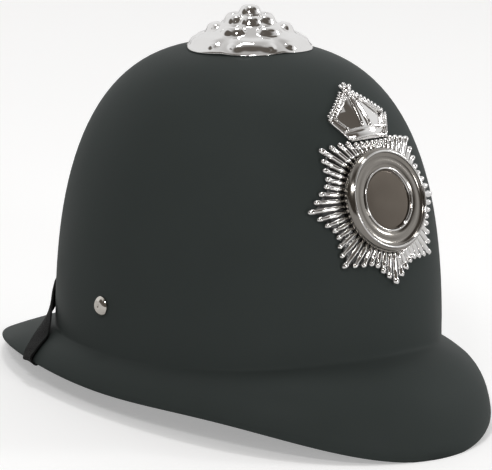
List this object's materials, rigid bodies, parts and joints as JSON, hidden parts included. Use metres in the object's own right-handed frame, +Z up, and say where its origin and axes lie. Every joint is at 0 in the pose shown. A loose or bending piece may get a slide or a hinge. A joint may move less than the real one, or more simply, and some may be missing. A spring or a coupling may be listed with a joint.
{
  "type": "custodian helmet",
  "caption": "Tall domed duty helmet with a flared brim, a rose boss, a fluted star badge with ring and crown, a fitted head harness and a swinging elastic chin strap.",
  "frame": {"origin": "under the middle of the helmet on the surface it stands on", "axes": "+Z up; the front with the badge faces -Y; the wearer's left is +X"},
  "size_m": [0.212, 0.2938, 0.2049],
  "materials": {
    "shell_black": "satin",
    "bright_chrome": "polished",
    "dark_disc": "polished dark",
    "rivet_nickel": "polished nickel",
    "plain_steel": "zinc plated",
    "elastic_black": "woven elastic",
    "band_plastic": "moulded",
    "sweat_leather": "worn smooth",
    "foam_grey": "closed-cell foam",
    "web_black": "woven webbing"
  },
  "bodies": {
    "helmet": {"shell": "shell_black", "boss": "bright_chrome", "boss_stud": "plain_steel", "boss_washer": "plain_steel", "boss_nut": "plain_steel", "badge_star": "bright_chrome", "badge_ring": "bright_chrome", "badge_disc": "dark_disc", "badge_crown": "bright_chrome", "badge_posts": "plain_steel", "badge_washers": "plain_steel", "badge_nuts": "plain_steel", "rivet_right": "rivet_nickel", "rivet_left": "rivet_nickel", "rivet_collar_right": "plain_steel", "rivet_collar_left": "plain_steel", "headband": "band_plastic", "sweatband": "sweat_leather", "headband_spacers": "foam_grey", "crown_strap_long": "web_black", "crown_strap_cross": "web_black", "crown_strap_rivets": "plain_steel"},
    "hanger_right": {"strap_tab_right": "plain_steel"},
    "hanger_left": {"strap_tab_left": "plain_steel"},
    "chin_strap": {"chin_strap": "elastic_black"}
  },
  "joints": [
    {"name": "chin_strap_swing", "type": "hinge", "parent": "helmet", "child": "chin_strap", "pos_m": [0, 0.01452, 0.05215], "axis": [-1, 0, 0], "range_deg": [0, 92], "deforming": ["chin_strap"]},
    {"name": "hanger_right_swing", "type": "hinge", "parent": "helmet", "child": "hanger_right", "pos_m": [-0.09093, 0.01452, 0.05215], "axis": [-0.9958, 0.0868, 0.0282], "range_deg": [0, 52]},
    {"name": "hanger_left_swing", "type": "hinge", "parent": "helmet", "child": "hanger_left", "pos_m": [0.09093, 0.01452, 0.05215], "axis": [-0.9958, -0.0868, -0.0282], "range_deg": [0, 52]}
  ],
  "couplings": [
    {"joint": "hanger_right_swing", "follows": "chin_strap_swing", "ratio": 0.565},
    {"joint": "hanger_left_swing", "follows": "chin_strap_swing", "ratio": 0.565}
  ]
}
